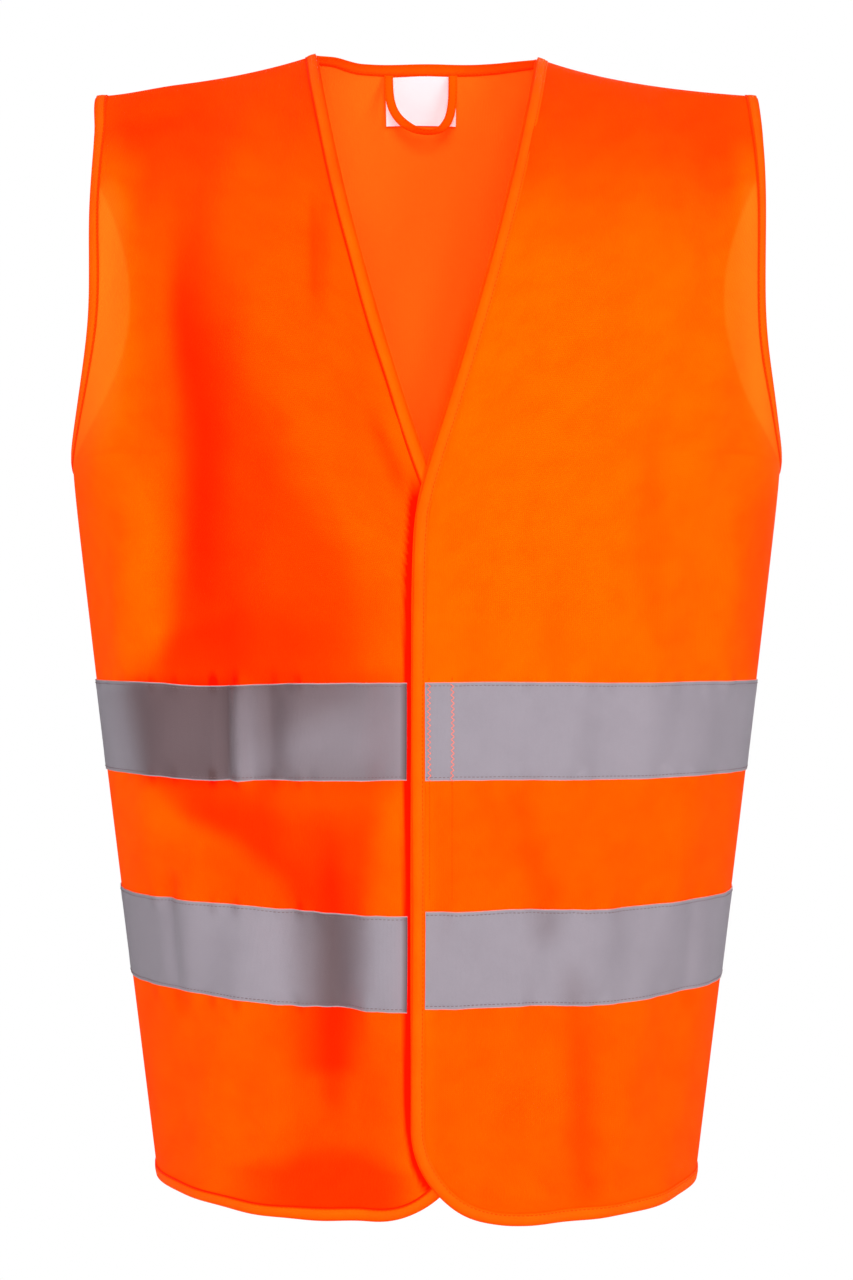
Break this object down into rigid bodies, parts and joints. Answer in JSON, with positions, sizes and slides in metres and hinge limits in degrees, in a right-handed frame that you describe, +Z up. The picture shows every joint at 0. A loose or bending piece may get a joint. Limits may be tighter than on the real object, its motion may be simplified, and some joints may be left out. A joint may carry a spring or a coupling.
{
  "type": "high visibility vest",
  "caption": "Sleeveless fluorescent orange vest with silver reflective bands, a V neck, and two fronts that lap and close at the centre.",
  "frame": {"origin": "midway between the two neck points, where the shoulder seams begin at the neckline", "axes": "+Z up, the wearer faces -Y, the wearer's left is +X"},
  "size_m": [0.4844, 0.2916, 0.7703],
  "materials": {
    "orange_cloth": "fluorescent orange knitted polyester, matt with a faint sheen",
    "reflective_tape": "silver-grey glass bead retroreflective tape, satin",
    "binding_tape": "fluorescent orange woven tape, folded over the edge and stitched",
    "loop_ribbon": "fluorescent orange woven ribbon",
    "seam_allowance": "folded and overlocked cloth inside the seams",
    "hook_and_loop": "orange hook-and-loop fastener, napped",
    "label_cloth": "bare white woven label, smooth"
  },
  "bodies": {
    "vest_shell": {"back_panel": "orange_cloth", "left_front_side": "orange_cloth", "right_front_side": "orange_cloth", "upper_band_back": "reflective_tape", "lower_band_back": "reflective_tape", "upper_band_left_side": "reflective_tape", "lower_band_left_side": "reflective_tape", "upper_band_right_side": "reflective_tape", "lower_band_right_side": "reflective_tape", "left_armhole_binding": "binding_tape", "right_armhole_binding": "binding_tape", "neck_binding": "binding_tape", "hem_binding": "binding_tape", "neck_label": "label_cloth", "left_side_seam": "seam_allowance", "right_side_seam": "seam_allowance", "left_shoulder_seam": "seam_allowance", "right_shoulder_seam": "seam_allowance"},
    "left_front": {"left_front_flap": "orange_cloth", "upper_band_left_flap": "reflective_tape", "lower_band_left_flap": "reflective_tape", "left_front_binding": "binding_tape", "hook_strip": "hook_and_loop"},
    "right_front": {"right_front_flap": "orange_cloth", "upper_band_right_flap": "reflective_tape", "lower_band_right_flap": "reflective_tape", "right_front_binding": "binding_tape", "loop_strip": "hook_and_loop"},
    "hanger_loop": {"hanger_loop": "loop_ribbon"}
  },
  "joints": [
    {"name": "left_front_opens", "type": "hinge", "parent": "vest_shell", "child": "left_front", "pos_m": [0.08157, -0.14637, -0.45829], "axis": [-0.0942, -0.0299, 0.9951], "range_deg": [0, 100]},
    {"name": "right_front_opens", "type": "hinge", "parent": "vest_shell", "child": "right_front", "pos_m": [-0.08157, -0.14637, -0.45829], "axis": [-0.0942, 0.0299, -0.9951], "range_deg": [0, 45]},
    {"name": "hanger_loop_swing", "type": "hinge", "parent": "vest_shell", "child": "hanger_loop", "pos_m": [0, 0.04227, 0.00124], "axis": [-1, 0, 0], "range_deg": [0, 130]}
  ],
  "couplings": [
    {"joint": "right_front_opens", "follows": "left_front_opens", "ratio": 0.45}
  ]
}
